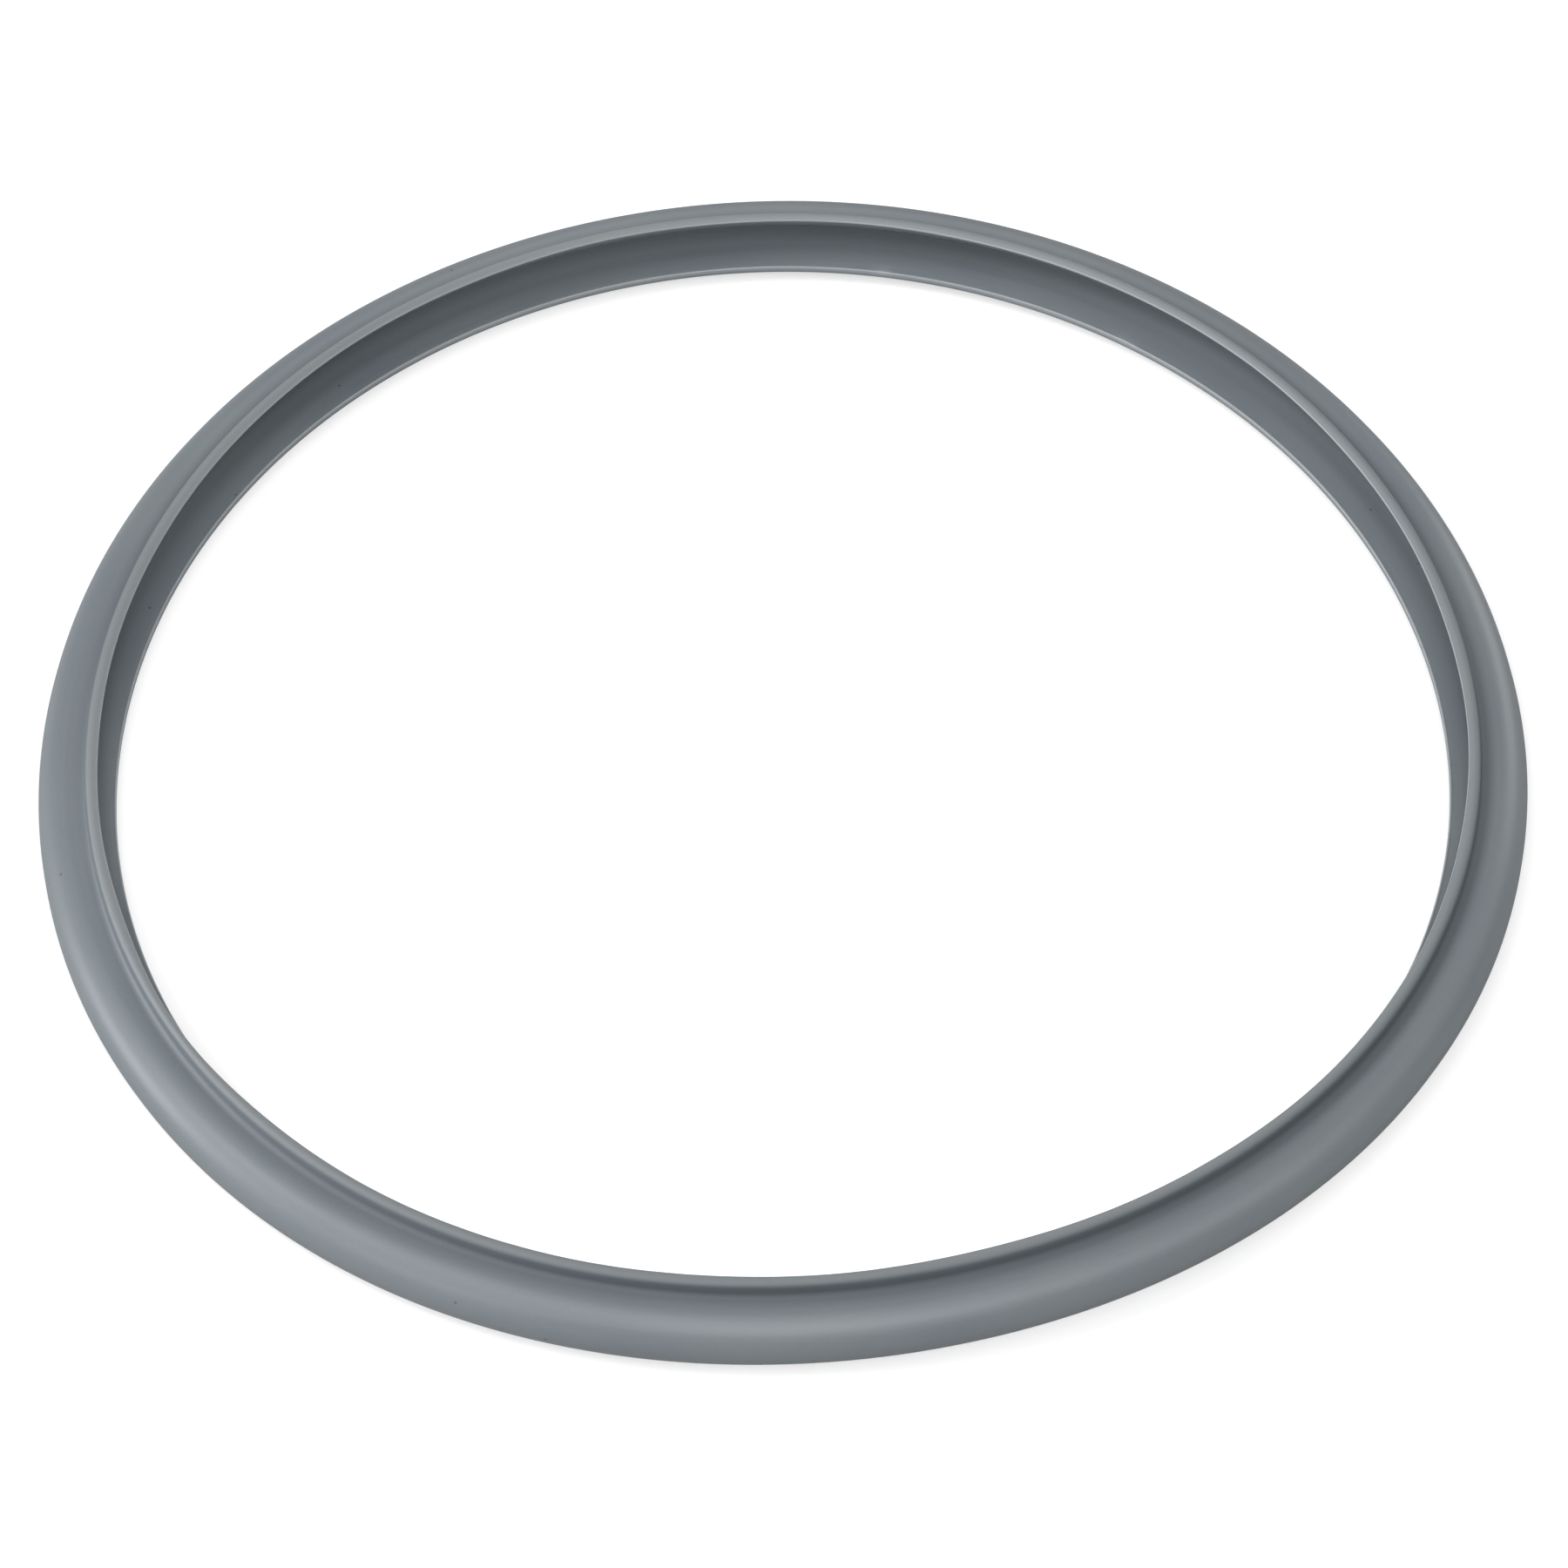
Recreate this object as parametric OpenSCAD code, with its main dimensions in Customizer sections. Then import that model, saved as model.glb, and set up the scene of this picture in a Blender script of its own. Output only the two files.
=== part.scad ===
// Sealing ring of a pressure cooker's lid: one moulded silicone ring.
// Its section is a C that opens towards the centre: a rounded outer body,
// an upper lip that ends in a raised band, a lower lip that reaches further
// in, and between them a round-backed groove for the lid's flange.
// Units are millimetres. The origin is the ring's centre, on the plane it rests on.

/* [Ring] */
// Largest outside diameter of the ring
outer_d = 220; // [120:1:320]
// Radius of the rounded outer body, half of its height
body_round_r = 5.1; // [4.9:0.1:5.4]

/* [Upper lip] */
// Height of the band's crest above the resting plane
ring_h = 12.8; // [12.5:0.1:13.3]
// Distance from the ring's outside to the band's outer wall
band_inset = 7.2; // [7:0.1:7.5]
// Width of the raised band
band_w = 1.9; // [1.7:0.1:2.2]
// Radius of the band's rounded outer shoulder
band_round_r = 1; // [0.6:0.1:1.2]
// Fall of the band from its crest towards the centre
band_fall = 0.4; // [0.2:0.1:0.6]
// Thickness of the lip's inner edge, below the band
band_edge_t = 0.4; // [0.3:0.1:0.6]
// Radius of the fillet at the foot of the band's outer wall
band_foot_r = 0.9; // [0.3:0.1:1]

/* [Groove] */
// Height of the groove, and twice the radius of its round back
groove_h = 5.4; // [4.8:0.1:5.6]
// Height of the groove's floor above the resting plane
groove_floor = 3.9; // [3.8:0.1:4.2]
// Thickness of the body behind the groove
groove_wall = 4.8; // [4.6:0.1:5]

/* [Lower lip] */
// Radial length by which the lower lip passes the upper one
lip_reach = 2.3; // [1.5:0.1:3]
// Thickness of the lower lip at its edge
lip_t = 1.3; // [1.1:0.1:1.6]
// Corner cut off above and below the lower lip's end face
lip_corner = 0.2; // [0.1:0.05:0.3]
// Fall of the groove's floor towards the lower lip's edge
lip_fall = 0.25; // [0.1:0.05:0.4]
// Width of the flat land that the ring rests on
rest_w = 2.5; // [2:0.1:3]

/* [Hidden] */
$fn = 180;

outer_r = outer_d / 2;
body_mid_r = outer_r - body_round_r;
body_top = 2 * body_round_r;

// Upper lip: its outer wall stands on the level top of the body
band_out_r = outer_r - band_inset;
band_in_r = band_out_r - band_w;
foot_mid_r = band_out_r + band_foot_r;
foot_mid_z = body_top + band_foot_r;
crest_r = band_out_r - band_round_r;
shoulder_z = ring_h - band_round_r;

// Groove
groove_r = groove_h / 2;
groove_mid_r = outer_r - groove_wall - groove_r;
groove_mid_z = groove_floor + groove_r;
groove_roof = groove_floor + groove_h;

// Lower lip
lip_edge_r = band_in_r - lip_reach;
lip_top = groove_floor - lip_fall;
lip_under = lip_top - lip_t;

// Both lips and the web that joins them, bounded outside by the middle of the round body
module lips_section() {
    difference() {
        polygon([
            [body_mid_r, 0],
            [body_mid_r, body_top],
            [foot_mid_r, body_top],
            [foot_mid_r, foot_mid_z],
            [band_out_r, foot_mid_z],
            [band_out_r, shoulder_z],
            [crest_r, shoulder_z],
            [crest_r, ring_h],
            [band_in_r, ring_h - band_fall],
            [band_in_r, ring_h - band_fall - band_edge_t],
            [groove_mid_r, groove_roof],
            [groove_mid_r, groove_floor],
            [lip_edge_r + lip_corner, lip_top],
            [lip_edge_r, lip_top - lip_corner],
            [lip_edge_r, lip_under + lip_corner],
            [lip_edge_r + lip_corner, lip_under],
            [body_mid_r - rest_w, 0]
        ]);
        translate([foot_mid_r, foot_mid_z])
            circle(r = band_foot_r);
    }
}

// The rounded outer shoulder of the band
module shoulder_section() {
    intersection() {
        translate([crest_r, shoulder_z])
            circle(r = band_round_r);
        translate([crest_r, shoulder_z])
            square(band_round_r);
    }
}

// The outer half of the round body
module body_section() {
    intersection() {
        translate([body_mid_r, body_round_r])
            circle(r = body_round_r);
        translate([body_mid_r, 0])
            square([body_round_r, body_top]);
    }
}

// The whole section, in the half plane to the right of the axis
module ring_section() {
    difference() {
        union() {
            lips_section();
            shoulder_section();
            body_section();
        }
        translate([groove_mid_r, groove_mid_z])
            circle(r = groove_r);
    }
}

module sealing_ring() {
    color([0.45, 0.49, 0.52])
        rotate_extrude()
            ring_section();
}

sealing_ring();
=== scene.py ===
"""Sealing ring of a pressure cooker's lid, moulded in grey silicone.

The ring's section is a C that opens towards the centre. It is carried round a
circle that is a little out of round, as a soft ring lies when nothing holds it.
Lengths named here are millimetres; the mesh itself is in metres. Sides are degrees
round the ring: 0 is its right, 90 its back, 180 its left and 270 its front.
"""

import math

import bpy
import numpy as np
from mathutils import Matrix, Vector


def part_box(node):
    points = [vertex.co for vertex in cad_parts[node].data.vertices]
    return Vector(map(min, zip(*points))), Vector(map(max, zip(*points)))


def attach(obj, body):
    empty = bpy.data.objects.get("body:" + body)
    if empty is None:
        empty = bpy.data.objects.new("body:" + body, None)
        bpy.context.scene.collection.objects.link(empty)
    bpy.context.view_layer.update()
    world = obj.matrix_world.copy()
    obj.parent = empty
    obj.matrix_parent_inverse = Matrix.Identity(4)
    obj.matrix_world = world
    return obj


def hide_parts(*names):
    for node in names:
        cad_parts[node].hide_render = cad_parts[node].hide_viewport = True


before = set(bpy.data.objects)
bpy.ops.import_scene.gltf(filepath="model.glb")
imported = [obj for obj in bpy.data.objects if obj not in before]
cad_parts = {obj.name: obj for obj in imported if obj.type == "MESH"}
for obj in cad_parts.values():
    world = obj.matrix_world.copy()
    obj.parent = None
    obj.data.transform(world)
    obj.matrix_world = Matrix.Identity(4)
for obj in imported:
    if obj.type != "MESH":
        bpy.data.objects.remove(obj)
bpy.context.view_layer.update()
ring_low, ring_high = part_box("sealing_ring")

MM = 0.001

# The ring's outside, from the frame
outer_r = (ring_high.x - ring_low.x) / 2 / MM
ring_h = (ring_high.z - ring_low.z) / MM

# Round body
body_round_r = 5.1
body_mid_r = outer_r - body_round_r
body_top = 2 * body_round_r

# Upper lip and its band, which falls inwards from its crest
band_inset = 7.2
band_out_r = outer_r - band_inset
band_w = 1.9
band_in_r = band_out_r - band_w
band_fall = 0.4
band_end = ring_h - band_fall
band_edge_t = 0.4
band_foot_r = 0.9
band_round_r = 0.85
crest_inset = 1.15
crest_r = band_out_r - crest_inset
crest_round_r = 0.5

# Thin sharp line of flash that the mould's parting line leaves along the band's inner edge
flash_w = 0.17
flash_h = 0.05
flash_drop = 0.17
flash_flank_w = 0.04
flash_round_r = 0.03
flash_r = band_in_r + flash_w
flash_foot_r = flash_r + flash_flank_w
flash_foot_z = band_end + band_fall * (flash_foot_r - band_in_r) / (crest_r - band_in_r)

# Groove
groove_floor = 3.9
groove_h = 5.4
groove_wall = 4.8
groove_back_r = outer_r - groove_wall
groove_roof = groove_floor + groove_h
groove_mid_r = groove_back_r - groove_h / 2
groove_corner_r = 2.3
roof_start = 0.5
roof_round_r = 0.6
floor_round_r = 8

# Lower lip
lip_reach = 2.3
lip_edge_r = band_in_r - lip_reach
lip_fall = 0.25
lip_top = groove_floor - lip_fall
lip_t = 1.1
lip_round_r = 0.25
bead_w = 0.38
bead_h = 0.05
bead_r = lip_edge_r + bead_w
bead_round_r = 0.08
rest_w = 2.5
rest_round_r = 1.2

# Out of round: lobes round the ring, height of each, and the side where it is highest
lobes = ((2, 1.0, 25), (3, 0.8, -21), (4, 0.3, -35))

# Where the lips lie further out than the rest: side, half width in degrees, and how far
upper_lip_bends = ((90, 32, 0.3), (211, 9, 0.55))
lower_lip_bends = ((92, 34, 0.8),)

# Unevenness round the ring: its height, its turns, and the seed of their phases
lip_wave = (0.07, (5, 8, 13, 17), 1)
flash_wave = (0.4 * flash_h, (23, 37, 61, 90, 140), 2)
edge_wave = (0.02, (31, 47, 83, 120), 3)

# Nicks in the lower lip's edge: side, half length, depth
nicks = ((81, 1.3, 0.22), (58, 1.8, 0.16))

# Painted shade in the corners: its strength and spread at the band's foot, its spread at the back
# of the groove, and where less of it is painted at the foot, where more light reaches: side, half
# width in degrees, and how much
foot_strength = 1.15
foot_spread = 1.8
groove_spread = 2.8
less_shaded_corners = ((200, 32, 0.8), (100, 65, 0.9))

# Silicone: tones as linear red, green and blue, and how much of each is mixed in
dark_tone = (0.107, 0.127, 0.146, 1)
light_tone = (0.130, 0.150, 0.160, 1)
streak_tone, streak_mix = (0.22, 0.24, 0.25, 1), 0.18
grain_tone, grain_mix = (0.24, 0.25, 0.26, 1), 0.14
speck_tone, speck_mix = (0.03, 0.035, 0.04, 1), 0.6
band_tone, band_mix = (0.24, 0.25, 0.255, 1), 0.40
# Painted highlight along the thin edges: the flash line and the lower lip's edge
thin_edge_highlight_tone, thin_edge_highlight_mix = (0.42, 0.45, 0.47, 1), 0.55
# Painted shade for the corners at the band's foot and at the back of the groove
painted_shade_tone, painted_shade_mix = (0.05, 0.06, 0.07, 1), 0.8

# Silicone: roughness, and what streaks, band and corners add to it
skin_rough = 0.43
streak_rough = 0.06
band_rough = 0.08
corner_rough = 0.35

# Silicone: height of the grain and of the streaks, and refraction
grain_rise = 0.009
streak_rise = 0.02
silicone_ior = 1.54

# Specks: share of the cells without one, and its size against a cell
speck_rarity = 0.72
speck_size = 0.016

# Table: half its side in metres, its matt white, how much it is raised next to the ring and far
# from it, and from where to where that changes
table_half = 3.0
table_white = 0.5
lift_near, lift_far = 0.5, 1.0
lift_from, lift_to = 5, 22

# Camera: degrees above the table, lens, distance, and the point it aims at
view_up = 51.5
lens = 248
view_distance = 1593
aim_right = 0.1
aim_front = 6.4
aim_height = 7.3

# Light: the surround's level, how far away the softboxes stand in metres, then name, side,
# height in degrees, size in metres and level of each
surround_level = 0.07
softbox_distance = 2.6
softboxes = (
    ("left", 180, 10, 1.0, 0.64),
    ("left_high", 182, 50, 1.0, 0.42),
    ("front_left", 228, 22, 1.0, 0.20),
    ("front", 280, 47, 1.3, 0.60),
    ("front_right", 336, 38, 1.1, 0.18),
    ("top", 250, 74, 1.0, 0.20),
    ("back_right", 45, 14, 1.0, 0.28),
    ("back", 90, 28, 1.0, 0.19),
)

# How finely the ring is meshed
steps_round = 960
steps_across = 103


def rounded_outline(corners, radii, arc_steps=24):
    """Outline of a polygon whose corners are arcs.

    Each arc turns by the angle between its two sides. It starts R * tan(turn / 2)
    before the corner, and its centre lies R to the inside of that start.
    """
    into = corners - np.roll(corners, 1, axis=0)
    into /= np.linalg.norm(into, axis=1)[:, None]
    out = np.roll(into, -1, axis=0)
    turn = np.arctan2(into[:, 0] * out[:, 1] - into[:, 1] * out[:, 0], (into * out).sum(1))
    start = corners - into * (radii * np.tan(abs(turn) / 2))[:, None]
    inside = np.stack([-into[:, 1], into[:, 0]], 1) * np.sign(turn)[:, None]
    centre = start + inside * radii[:, None]
    angle = turn[:, None] * np.linspace(0, 1, arc_steps)
    spoke = (start - centre)[:, None, :]
    x = spoke[..., 0] * np.cos(angle) - spoke[..., 1] * np.sin(angle)
    y = spoke[..., 0] * np.sin(angle) + spoke[..., 1] * np.cos(angle)
    return (np.stack([x, y], -1) + centre[:, None, :]).reshape(-1, 2)


def half_turned(angle):
    """The same angle between minus and plus half a turn."""
    return (angle + math.pi) % (2 * math.pi) - math.pi


def spread_by_bend(outline, count, longest=0.95, turn_step=0.2, reach=0.12, fine_step=0.01):
    """The closed outline again with count points, close together where it bends, and how far
    along it they lie.

    Points per millimetre are 1 / longest on straight stretches and bend / turn_step
    on arcs, smoothed over the reach so that straights have a point next to each arc.
    """
    closed = np.vstack([outline, outline[:1]])
    length = np.r_[0, np.cumsum(np.hypot(*np.diff(closed, axis=0).T))]
    fine = np.arange(0, length[-1], fine_step)
    x = np.interp(fine, length, closed[:, 0])
    y = np.interp(fine, length, closed[:, 1])
    heading = np.arctan2(np.roll(y, -1) - y, np.roll(x, -1) - x)
    bend = abs(half_turned(np.diff(np.r_[heading, heading[0]]))) / fine_step
    window = np.exp(-((np.arange(-4 * reach, 4 * reach, fine_step) / reach) ** 2))
    window /= window.sum()
    pad = len(window)
    bend = np.convolve(np.r_[bend[-pad:], bend, bend[:pad]], window, "same")[pad:-pad]
    effort = np.cumsum(np.maximum(1 / longest, bend / turn_step))
    picked = np.interp(np.arange(count) / count * effort[-1], effort, fine)
    return np.stack([np.interp(picked, fine, x), np.interp(picked, fine, y)], 1), picked


def ring_section():
    """Section of the ring as (radius, height) points, anticlockwise from its underside, and their
    distance along it. The band has a round shoulder and falls inwards from its crest to a thin
    line of flash; the lower lip ends in a low bead."""
    table = np.array([
        # Round body
        (outer_r, 0, body_round_r),
        (outer_r, body_top, body_round_r),
        # Band, from its foot over its shoulder and crest to the flash
        (band_out_r, body_top, band_foot_r),
        (band_out_r, ring_h, band_round_r),
        (crest_r, ring_h, crest_round_r),
        (flash_foot_r, flash_foot_z, flash_round_r),
        (flash_r, flash_foot_z + flash_h, flash_round_r),
        (band_in_r, band_end - flash_drop, 0.04),
        (band_in_r + 0.1, band_end - band_edge_t, 0.12),
        # Groove
        (groove_mid_r + roof_start, groove_roof, roof_round_r),
        (groove_back_r, groove_roof, groove_corner_r),
        (groove_back_r, groove_floor, groove_corner_r),
        (groove_mid_r, groove_floor, floor_round_r),
        # Bead and edge of the lower lip
        (bead_r, lip_top - 0.03, 0.06),
        (bead_r - 0.12, lip_top + bead_h, bead_round_r),
        (lip_edge_r, lip_top + bead_h * 0.4, bead_round_r),
        (lip_edge_r, lip_top - lip_t, lip_round_r),
        # Flat land that the ring rests on
        (body_mid_r - rest_w, 0, rest_round_r),
    ])
    return spread_by_bend(rounded_outline(table[:, :2], table[:, 2]), steps_across)


def near(section, point, width):
    """1 at the given point of the section, falling as a bell of that width away from it."""
    away = np.hypot(section[:, 0] - point[0], section[:, 1] - point[1])
    return np.exp(-((away / width) ** 2))


def ripple(angle, height, turns, seed):
    """Smooth unevenness round the ring, about -height to height: cosines of the given turns,
    phases by seed."""
    phase = np.random.default_rng(seed).uniform(0, 2 * math.pi, len(turns))
    return height * (np.cos(np.outer(angle, turns) + phase).mean(1) * math.sqrt(len(turns)))


def bends(angle, places):
    """How much the places do at each angle: the sum of height * exp(-(away / half width)^2)."""
    out = np.zeros(len(angle))
    for side, half, height in places:
        away = half_turned(angle - math.radians(side))
        out += height * np.exp(-((away / math.radians(half)) ** 2))
    return out


def ring_grid(section):
    """Points of the ring, one row round it and one column along its section, and each row's angle.

    A section point at radius r goes to (r + lobes) * (cos, sin) of the angle. The whole is then
    drawn in and centred so that it stays inside the frame's outside diameter.
    """
    angle = np.arange(steps_round) / steps_round * 2 * math.pi
    out = sum(height * np.cos(n * (angle - math.radians(side))) for n, height, side in lobes)
    way = np.stack([np.cos(angle), np.sin(angle)], 1)
    rim = (outer_r + out)[:, None] * way
    centre = (rim.max(0) + rim.min(0)) / 2
    out = out - ((rim.max(0) - rim.min(0)).max() / 2 - outer_r)

    radius = section[:, 0] + out[:, None]
    height = np.repeat(section[None, :, 1], steps_round, 0)

    # The thin upper lip waves a little, and its flash is uneven
    upper_lip = near(section, (band_in_r, band_end), 1.0)
    flash = near(section, (flash_r, band_end + flash_h), 0.1)
    wave = ripple(angle, *lip_wave) + bends(angle, upper_lip_bends)
    radius = radius + wave[:, None] * upper_lip
    height = height + ripple(angle, *flash_wave)[:, None] * flash

    # Bends, nicks and unevenness in the lower lip's edge
    lower_lip = near(section, (lip_edge_r, lip_top - lip_t / 2), 2.0)
    radius = radius + bends(angle, lower_lip_bends)[:, None] * lower_lip
    edge = near(section, (lip_edge_r, lip_top), 0.45)
    height = height + ripple(angle, *edge_wave)[:, None] * edge
    for side, half, deep in nicks:
        along = half_turned(angle - math.radians(side)) * lip_edge_r
        notch = np.exp(-((along / half) ** 4))[:, None] * edge
        radius = radius + deep * notch
        height = height - deep * notch

    points = radius[..., None] * way[:, None, :] - centre
    middle = (ring_low + ring_high) / 2
    return np.dstack([points * MM + np.array(middle[:2]), height * MM + ring_low.z]), angle


def set_attribute(mesh, name, values):
    """Give the mesh a number per vertex under that name."""
    mesh.attributes.new(name, "FLOAT", "POINT").data.foreach_set("value", values)


def ring_mesh(name):
    """Mesh of the ring: the grid's quads, closed both ways, with a map in metres along and across
    the surface, and attributes that say where the silicone is thin (where a highlight is painted),
    where the band is, and where
    shade is painted in the corners: at the foot of the band and at the back of the groove."""
    section, across = ring_section()
    grid, angle = ring_grid(section)
    rows, columns = grid.shape[:2]
    row = np.repeat(np.arange(rows), columns)
    column = np.tile(np.arange(columns), rows)
    next_row = (row + 1) % rows
    next_column = (column + 1) % columns
    faces = np.stack([row * columns + column, next_row * columns + column,
                      next_row * columns + next_column, row * columns + next_column], 1)

    mesh = bpy.data.meshes.new(name)
    mesh.from_pydata(grid.reshape(-1, 3), [], faces.tolist())
    mesh.polygons.foreach_set("use_smooth", np.ones(len(faces), bool))

    round_step = 2 * math.pi / rows * outer_r * MM
    across = np.r_[across, across[-1] + np.hypot(*(section[0] - section[-1]))] * MM
    u = np.stack([row, row + 1, row + 1, row], 1) * round_step
    v = across[np.stack([column, column, column + 1, column + 1], 1)]
    mesh.uv_layers.new(name="surface").data.foreach_set("uv", np.stack([u, v], -1).ravel())

    # Where the silicone is thin, which is where a highlight is painted
    thin = np.maximum(near(section, (band_in_r + 0.08, band_end - 0.04), 0.17),
                      near(section, (lip_edge_r, lip_top), 0.35))
    set_attribute(mesh, "thin", np.tile(thin, rows))
    top = np.clip((section[:, 1] - (ring_h - 0.6)) / 0.4, 0, 1)
    set_attribute(mesh, "band", np.tile(top * (section[:, 0] > band_in_r - 0.05), rows))
    # Painted shade at the band's foot, weaker on the sides where light reaches it, and at the back
    # of the groove
    foot = foot_strength * near(section, (band_out_r + 0.2, body_top + 0.9), foot_spread)
    foot = foot * (1 - bends(angle, less_shaded_corners))[:, None]
    back = near(section, (groove_back_r - 0.4, groove_floor + 1.4), groove_spread)
    set_attribute(mesh, "painted_shade_corner", np.maximum(foot, back).ravel())
    mesh.update()
    return mesh


def fill(tree, socket, value):
    """Set the socket to a value, or link it to another socket."""
    if isinstance(value, bpy.types.NodeSocket):
        tree.links.new(value, socket)
    else:
        socket.default_value = value


def node(tree, kind, **inputs):
    """A new node of the tree, with the named inputs set to values or linked to sockets."""
    made = tree.nodes.new(kind)
    for name, value in inputs.items():
        fill(tree, made.inputs[name.replace("_", " ")], value)
    return made


def new_material(name):
    """An empty node material, its tree and its output node."""
    material = bpy.data.materials.new(name)
    material.use_nodes = True
    material.node_tree.nodes.clear()
    return material, material.node_tree, material.node_tree.nodes.new("ShaderNodeOutputMaterial")


def math_node(tree, operation, a, b=0.0, c=0.0, clamp=False):
    """The operation's result on the two or three values or sockets."""
    made = tree.nodes.new("ShaderNodeMath")
    made.operation = operation
    made.use_clamp = clamp
    for socket, value in zip(made.inputs, (a, b, c)):
        fill(tree, socket, value)
    return made.outputs[0]


def mix_colour(tree, factor, a, b):
    """The colour a where the factor is 0, b where it is 1, and a mix between."""
    made = tree.nodes.new("ShaderNodeMix")
    made.data_type = "RGBA"
    for socket, value in ((made.inputs[0], factor), (made.inputs[6], a), (made.inputs[7], b)):
        fill(tree, socket, value)
    return made.outputs[2]


def attribute(tree, name):
    """The mesh's number of that name."""
    made = tree.nodes.new("ShaderNodeAttribute")
    made.attribute_name = name
    return made.outputs["Fac"]


def silicone():
    """Satin grey silicone: a tone that drifts round the ring, faint streaks along it from the
    mould, a fine grain, a few specks of dust, a lighter and more matt band, a painted highlight
    along the thin edges, and painted shade in the corners, which are also more matt."""
    material, tree, output = new_material("silicone")
    place = tree.nodes.new("ShaderNodeTexCoord")
    surface = node(tree, "ShaderNodeSeparateXYZ", Vector=place.outputs["UV"])
    spot = node(tree, "ShaderNodeSeparateXYZ", Vector=place.outputs["Object"])

    def part(value, share):
        """That share of the value."""
        return math_node(tree, "MULTIPLY", value, share)

    drift = node(tree, "ShaderNodeTexNoise", Vector=place.outputs["Object"],
                 Scale=30.0, Detail=2.0).outputs[0]
    patches = math_node(tree, "MULTIPLY_ADD", drift, 2.0, -0.5, clamp=True)

    # Streaks: long round the ring, narrow across it
    streak_place = node(tree, "ShaderNodeCombineXYZ", X=part(spot.outputs["X"], 22.0),
                        Y=part(spot.outputs["Y"], 22.0), Z=part(surface.outputs["Y"], 900.0))
    streaks = node(tree, "ShaderNodeTexNoise", Vector=streak_place.outputs[0],
                   Scale=1.0, Detail=3.0).outputs[0]
    grain = node(tree, "ShaderNodeTexNoise", Vector=place.outputs["Object"],
                 Scale=2600.0, Detail=2.0).outputs[0]

    # Specks: the middle of a few of the cells of a cell pattern
    cells = node(tree, "ShaderNodeTexVoronoi", Vector=place.outputs["UV"], Scale=70.0)
    cells.voronoi_dimensions = "2D"
    pick = node(tree, "ShaderNodeSeparateColor", Color=cells.outputs["Color"])
    chosen = math_node(tree, "GREATER_THAN", pick.outputs[0], speck_rarity)
    dot = math_node(tree, "LESS_THAN", cells.outputs["Distance"], speck_size)
    speck = math_node(tree, "MULTIPLY", chosen, dot)

    band = attribute(tree, "band")
    thin = attribute(tree, "thin")
    painted_shade_corner = attribute(tree, "painted_shade_corner")
    tone = mix_colour(tree, patches, dark_tone, light_tone)
    # The thin edges' tone is a painted highlight, and the corner tone is painted shade
    for where, share, over in ((streaks, streak_mix, streak_tone), (grain, grain_mix, grain_tone),
                               (speck, speck_mix, speck_tone), (band, band_mix, band_tone),
                               (thin, thin_edge_highlight_mix, thin_edge_highlight_tone), (painted_shade_corner, painted_shade_mix, painted_shade_tone)):
        tone = mix_colour(tree, part(where, share), tone, over)

    rough = math_node(tree, "MULTIPLY_ADD", streaks, streak_rough, skin_rough)
    rough = math_node(tree, "ADD", rough, part(band, band_rough))
    rough = math_node(tree, "ADD", rough, part(painted_shade_corner, corner_rough))
    rise = math_node(tree, "ADD", part(grain, grain_rise), part(streaks, streak_rise))
    bump = node(tree, "ShaderNodeBump", Height=rise, Distance=0.001, Strength=1.0)
    skin = node(tree, "ShaderNodeBsdfPrincipled", Base_Color=tone, Roughness=rough,
                IOR=silicone_ior, Normal=bump.outputs[0])
    tree.links.new(skin.outputs[0], output.inputs[0])
    return material


def seen_directly(tree):
    """1 for what the camera sees, also through something clear, and 0 for what gives light."""
    path = tree.nodes.new("ShaderNodeLightPath")
    return math_node(tree, "MAXIMUM", path.outputs["Is Camera Ray"],
                     path.outputs["Is Transmission Ray"])


def table_top():
    """White table: a matt white, raised to plain white for the camera, less so close to the ring,
    where its shadow stays. From below it is clear."""
    material, tree, output = new_material("table_white")
    place = tree.nodes.new("ShaderNodeTexCoord")
    away = node(tree, "ShaderNodeVectorMath", Vector=place.outputs["Object"])
    away.operation = "LENGTH"
    off_ring = math_node(tree, "SUBTRACT", away.outputs["Value"], body_mid_r * MM)
    raised = node(tree, "ShaderNodeMapRange", Value=math_node(tree, "ABSOLUTE", off_ring),
                  From_Min=lift_from * MM, From_Max=lift_to * MM, To_Min=lift_near, To_Max=lift_far)
    matt = node(tree, "ShaderNodeBsdfDiffuse", Color=(table_white, table_white, table_white, 1))
    lift = node(tree, "ShaderNodeEmission",
                Strength=math_node(tree, "MULTIPLY", seen_directly(tree), raised.outputs[0]))
    both = tree.nodes.new("ShaderNodeAddShader")
    tree.links.new(matt.outputs[0], both.inputs[0])
    tree.links.new(lift.outputs[0], both.inputs[1])
    clear = tree.nodes.new("ShaderNodeBsdfTransparent")
    sides = tree.nodes.new("ShaderNodeMixShader")
    tree.links.new(tree.nodes.new("ShaderNodeNewGeometry").outputs["Backfacing"], sides.inputs[0])
    tree.links.new(both.outputs[0], sides.inputs[1])
    tree.links.new(clear.outputs[0], sides.inputs[2])
    tree.links.new(sides.outputs[0], output.inputs[0])
    return material


def make_floor():
    """A plain table top that the ring lies on."""
    corners = [(x * table_half, y * table_half, 0) for x, y in ((-1, -1), (1, -1), (1, 1), (-1, 1))]
    mesh = bpy.data.meshes.new("table")
    mesh.from_pydata(corners, [], [(0, 1, 2, 3)])
    mesh.materials.append(table_top())
    table = bpy.data.objects.new("table", mesh)
    table.location.z = ring_low.z
    bpy.context.scene.collection.objects.link(table)


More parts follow.
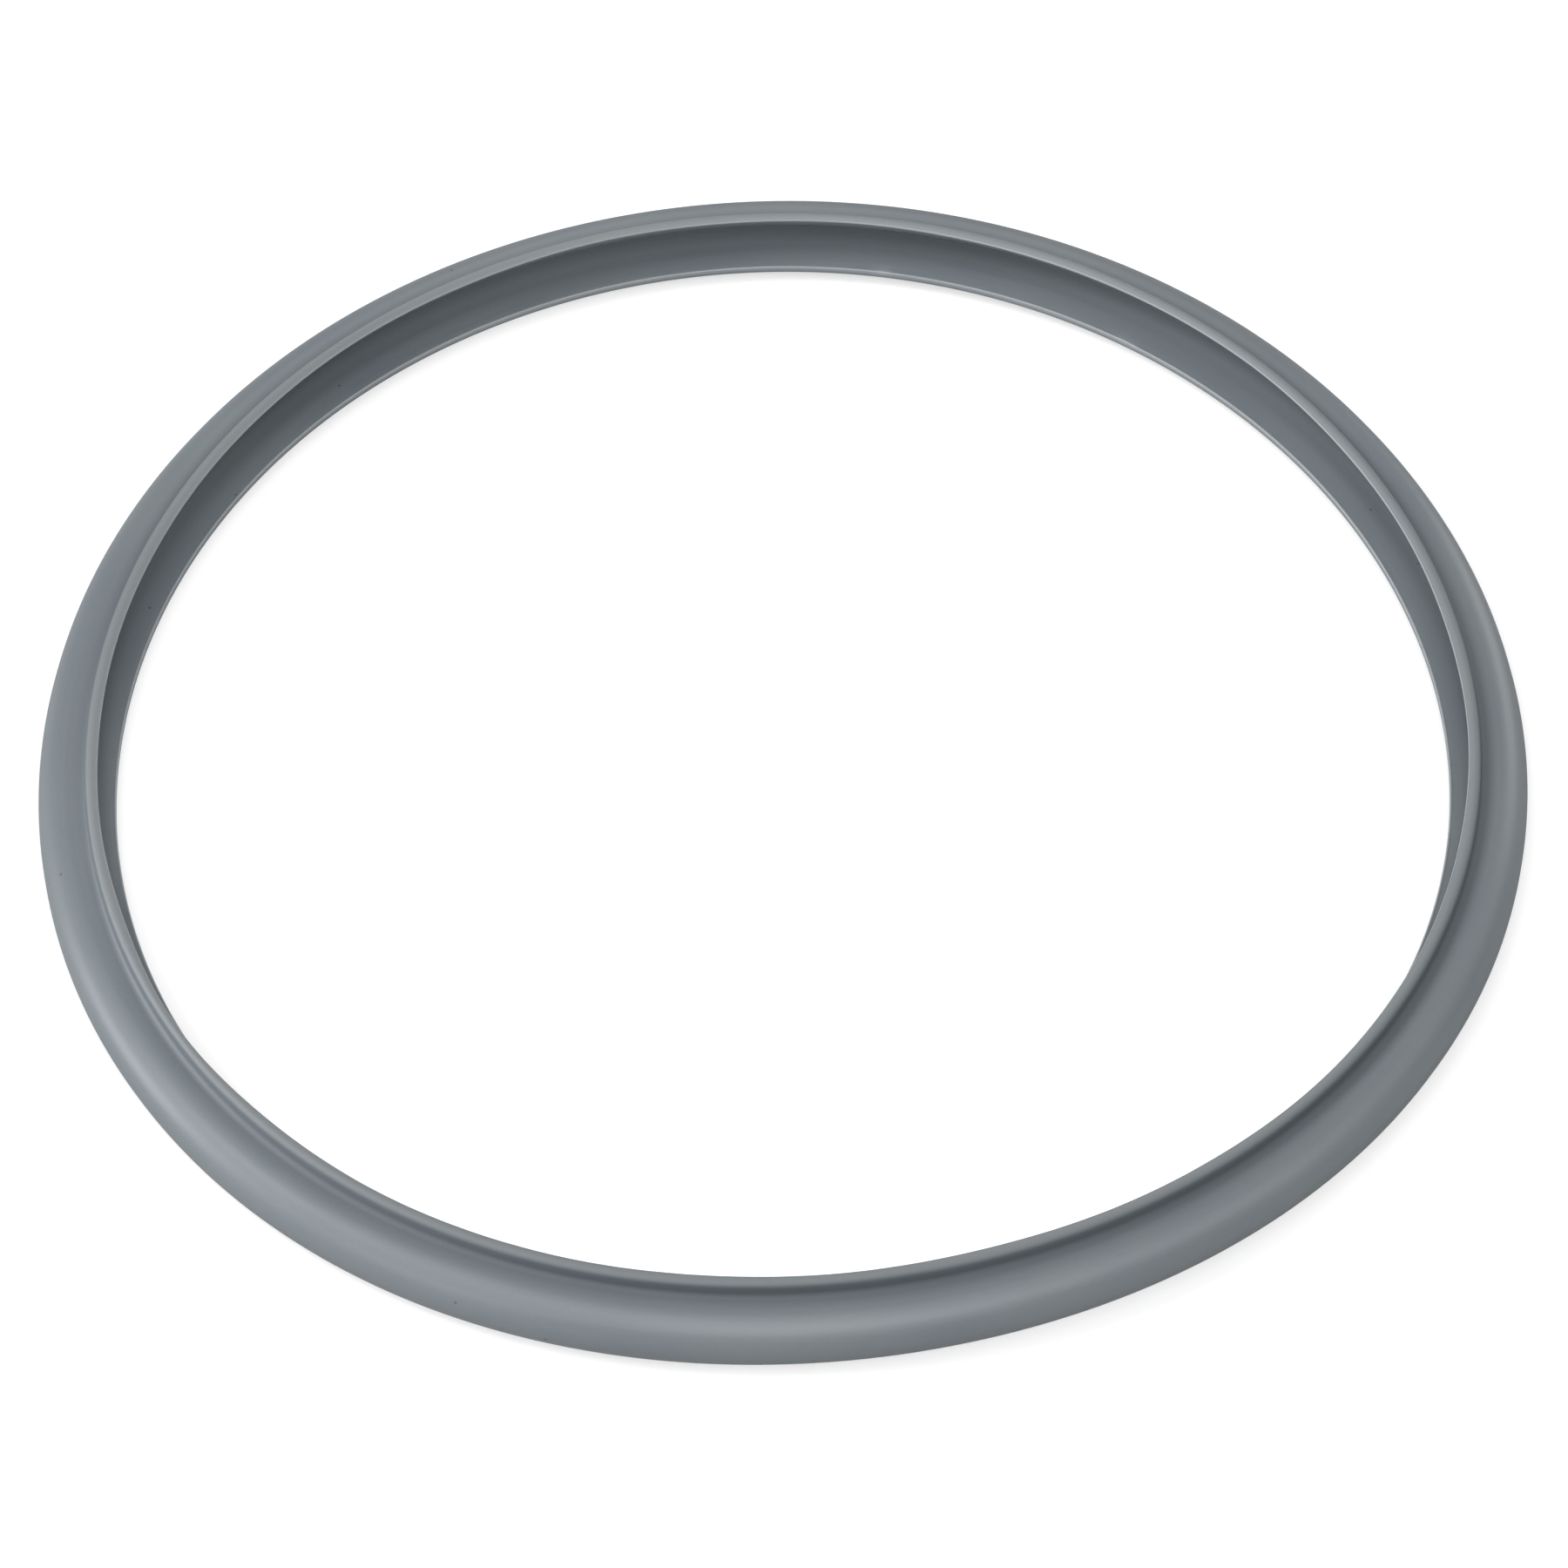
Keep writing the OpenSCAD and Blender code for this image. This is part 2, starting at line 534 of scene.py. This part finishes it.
def softbox(name, side, height, size, level):
    """A square lamp that faces the ring from that side and height, in degrees. Level is how bright
    a white surface looks that faces it: power = level * pi^2 * distance^2."""
    side, height = math.radians(side), math.radians(height)
    lamp = bpy.data.lights.new(name, "AREA")
    lamp.shape = "SQUARE"
    lamp.size = size
    lamp.energy = level * math.pi ** 2 * softbox_distance ** 2
    placed = bpy.data.objects.new(name, lamp)
    away = Vector((math.cos(side) * math.cos(height), math.sin(side) * math.cos(height),
                   math.sin(height)))
    placed.location = away * softbox_distance
    placed.rotation_mode = "QUATERNION"
    placed.rotation_quaternion = away.to_track_quat("Z", "Y")
    placed.visible_camera = False
    bpy.context.scene.collection.objects.link(placed)


def make_light():
    """Soft studio light: an even surround, white to the camera, and large softboxes."""
    world = bpy.data.worlds.new("studio")
    bpy.context.scene.world = world
    world.use_nodes = True
    tree = world.node_tree
    tree.nodes.clear()
    strength = math_node(tree, "MULTIPLY_ADD", seen_directly(tree), 1 - surround_level,
                         surround_level)
    glow = node(tree, "ShaderNodeBackground", Color=(1, 1, 1, 1), Strength=strength)
    output = tree.nodes.new("ShaderNodeOutputWorld")
    tree.links.new(glow.outputs[0], output.inputs[0])
    for box in softboxes:
        softbox(*box)


def make_camera():
    """A long lens, looking down at the ring from its front."""
    up = math.radians(view_up)
    middle = (ring_low + ring_high) / 2
    aim = Vector((middle.x + aim_right * MM, middle.y - aim_front * MM,
                  ring_low.z + aim_height * MM))
    back = Vector((0, -math.cos(up), math.sin(up)))
    data = bpy.data.cameras.new("camera")
    data.sensor_width = 36
    data.lens = lens
    data.clip_end = 20
    camera = bpy.data.objects.new("camera", data)
    camera.location = aim + back * view_distance * MM
    camera.rotation_mode = "QUATERNION"
    camera.rotation_quaternion = back.to_track_quat("Z", "Y")
    bpy.context.scene.collection.objects.link(camera)
    bpy.context.scene.camera = camera


ring = bpy.data.objects.new("moulded_ring", ring_mesh("moulded_ring"))
bpy.context.scene.collection.objects.link(ring)
ring.data.materials.append(silicone())
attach(ring, "root")
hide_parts("sealing_ring")

make_floor()
make_light()
make_camera()
bpy.context.scene.view_settings.view_transform = "Standard"
